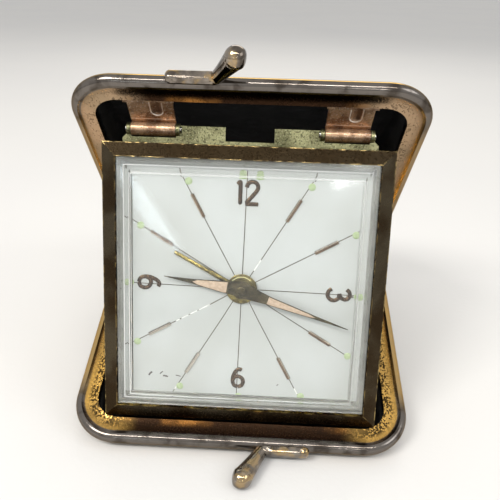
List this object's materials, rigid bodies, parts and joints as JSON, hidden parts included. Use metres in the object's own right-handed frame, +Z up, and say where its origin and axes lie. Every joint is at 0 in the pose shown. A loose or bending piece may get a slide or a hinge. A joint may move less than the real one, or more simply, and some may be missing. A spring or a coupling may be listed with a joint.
{
  "type": "travel alarm clock",
  "caption": "Square travel alarm clock with a domed crystal, hung inside a two-framed purse case with a ball clasp; the case opens to hold it upright.",
  "frame": {"origin": "on the table, straight below the middle of the clock's face", "axes": "+X to the reader's right, +Y away from the reader, +Z up"},
  "size_m": [0.0772, 0.0876, 0.0828],
  "materials": {
    "front_frame": "worn bronze and nickel plate",
    "rear_frame": "worn bronze and nickel plate",
    "front_clasp": "worn nickel",
    "rear_clasp": "worn nickel",
    "front_leather": "dark pebbled leather",
    "rear_leather": "dark pebbled leather",
    "front_lining": "black velvet",
    "rear_lining": "black velvet",
    "hinge_rivets": "worn nickel",
    "left_hinge_bracket": "copper-toned plate",
    "right_hinge_bracket": "copper-toned plate",
    "hinge_plate": "satin brass",
    "clock_hinge_pins": "turned steel",
    "bezel": "dark antique bronze",
    "crystal": "clear acrylic",
    "dial_surround": "satin nickel",
    "dial": "silvered white",
    "centre_boss": "gilt",
    "hour_batons": "gilt",
    "clock_case": "satin brass",
    "back_cover": "satin brass",
    "cover_screws": "turned steel",
    "movement_front_plate": "bright brass",
    "movement_back_plate": "bright brass",
    "plate_pillars": "turned steel",
    "time_barrel": "bright brass",
    "alarm_barrel": "bright brass",
    "centre_wheel": "bright brass",
    "third_wheel": "bright brass",
    "balance_wheel": "bright brass",
    "balance_cock": "turned steel",
    "centre_arbor": "turned steel",
    "cannon_pinion": "bright brass",
    "minute_hand": "gilt",
    "time_set_knob": "turned steel",
    "minute_wheel": "bright brass",
    "hour_wheel": "bright brass",
    "hour_hand": "gilt",
    "alarm_wheel": "bright brass",
    "alarm_hand": "gilt",
    "alarm_set_knob": "turned steel",
    "time_winding_key": "turned steel",
    "alarm_winding_key": "turned steel",
    "alarm_stop_button": "turned steel",
    "regulator_lever": "turned steel"
  },
  "bodies": {
    "front_half": {"front_frame": "front_frame", "front_clasp": "front_clasp", "front_leather": "front_leather", "front_lining": "front_lining", "hinge_rivets": "hinge_rivets"},
    "rear_half": {"rear_frame": "rear_frame", "rear_clasp": "rear_clasp", "rear_leather": "rear_leather", "rear_lining": "rear_lining", "left_hinge_bracket": "left_hinge_bracket", "right_hinge_bracket": "right_hinge_bracket"},
    "clock": {"hinge_plate": "hinge_plate", "clock_hinge_pins": "clock_hinge_pins", "bezel": "bezel", "crystal": "crystal", "dial_surround": "dial_surround", "dial": "dial", "centre_boss": "centre_boss", "hour_batons": "hour_batons", "clock_case": "clock_case", "back_cover": "back_cover", "cover_screws": "cover_screws", "movement_front_plate": "movement_front_plate", "movement_back_plate": "movement_back_plate", "plate_pillars": "plate_pillars", "alarm_barrel": "alarm_barrel", "balance_cock": "balance_cock"},
    "minute_works": {"centre_arbor": "centre_arbor", "centre_wheel": "centre_wheel", "cannon_pinion": "cannon_pinion", "minute_hand": "minute_hand", "time_set_knob": "time_set_knob"},
    "time_barrel_works": {"time_barrel": "time_barrel"},
    "third_works": {"third_wheel": "third_wheel"},
    "balance": {"balance_wheel": "balance_wheel"},
    "minute_wheel": {"minute_wheel": "minute_wheel"},
    "hour_works": {"hour_wheel": "hour_wheel", "hour_hand": "hour_hand"},
    "alarm_works": {"alarm_wheel": "alarm_wheel", "alarm_hand": "alarm_hand"},
    "alarm_setter": {"alarm_set_knob": "alarm_set_knob"},
    "time_key": {"time_winding_key": "time_winding_key"},
    "alarm_key": {"alarm_winding_key": "alarm_winding_key"},
    "alarm_stop": {"alarm_stop_button": "alarm_stop_button"},
    "regulator": {"regulator_lever": "regulator_lever"}
  },
  "joints": [
    {"name": "case_close", "type": "hinge", "parent": "front_half", "child": "rear_half", "pos_m": [0, 0.04481, 0.02414], "axis": [1, 0, 0], "range_deg": [0, 73.5], "deforming": ["front_leather", "front_lining"]},
    {"name": "clock_fold", "type": "hinge", "parent": "rear_half", "child": "clock", "pos_m": [0, 0.01718, 0.06405], "axis": [1, 0, 0], "range_deg": [0, 56.6]},
    {"name": "minute_hand_turn", "type": "hinge", "parent": "clock", "child": "minute_works", "pos_m": [-0.0005, -0.00017, 0.03418], "axis": [0, 0.9575, -0.2883], "continuous": true},
    {"name": "minute_wheel_turn", "type": "hinge", "parent": "clock", "child": "minute_wheel", "pos_m": [-0.0058, 0.00064, 0.03688], "axis": [0, 0.9575, -0.2883], "continuous": true},
    {"name": "hour_hand_turn", "type": "hinge", "parent": "clock", "child": "hour_works", "pos_m": [-0.0005, -0.00017, 0.03418], "axis": [0, 0.9575, -0.2883], "continuous": true},
    {"name": "time_barrel_turn", "type": "hinge", "parent": "clock", "child": "time_barrel_works", "pos_m": [-0.00624, -0.00253, 0.02634], "axis": [0, 0.9575, -0.2883], "continuous": true},
    {"name": "third_wheel_turn", "type": "hinge", "parent": "clock", "child": "third_works", "pos_m": [-0.0064, 0.00102, 0.03814], "axis": [0, 0.9575, -0.2883], "continuous": true},
    {"name": "balance_turn", "type": "hinge", "parent": "clock", "child": "balance", "pos_m": [-0.009, 0.00346, 0.04625], "axis": [0, 0.9575, -0.2883], "range_deg": [-150, 150], "stiffness_Nm_per_rad": 0.00000037},
    {"name": "alarm_hand_turn", "type": "hinge", "parent": "clock", "child": "alarm_works", "pos_m": [-0.0005, -0.00017, 0.03418], "axis": [0, 0.9575, -0.2883], "continuous": true},
    {"name": "alarm_set_turn", "type": "hinge", "parent": "clock", "child": "alarm_setter", "pos_m": [0.0038, -0.00194, 0.0283], "axis": [0, 0.9575, -0.2883], "continuous": true},
    {"name": "time_key_turn", "type": "hinge", "parent": "clock", "child": "time_key", "pos_m": [-0.00624, -0.00253, 0.02634], "axis": [0, 0.9575, -0.2883], "continuous": true},
    {"name": "alarm_key_turn", "type": "hinge", "parent": "clock", "child": "alarm_key", "pos_m": [0.0061, 0.00254, 0.0432], "axis": [0, 0.9575, -0.2883], "continuous": true},
    {"name": "alarm_stop_push", "type": "slide", "parent": "clock", "child": "alarm_stop", "axis": [0, -0.9575, 0.2883], "range_m": [0, 0.0012], "stiffness_N_per_m": 150, "springref_m": -0.0008},
    {"name": "regulator_swing", "type": "hinge", "parent": "clock", "child": "regulator", "pos_m": [-0.009, 0.00346, 0.04625], "axis": [0, 0.9575, -0.2883], "range_deg": [-18, 18]}
  ],
  "couplings": [
    {"joint": "clock_fold", "follows": "case_close", "ratio": 0.77},
    {"joint": "minute_wheel_turn", "follows": "minute_hand_turn", "ratio": -0.33333},
    {"joint": "hour_hand_turn", "follows": "minute_hand_turn", "ratio": 0.083333},
    {"joint": "time_barrel_turn", "follows": "minute_hand_turn", "ratio": -0.13636},
    {"joint": "third_wheel_turn", "follows": "minute_hand_turn", "ratio": -8},
    {"joint": "alarm_set_turn", "follows": "alarm_hand_turn", "ratio": -4}
  ]
}
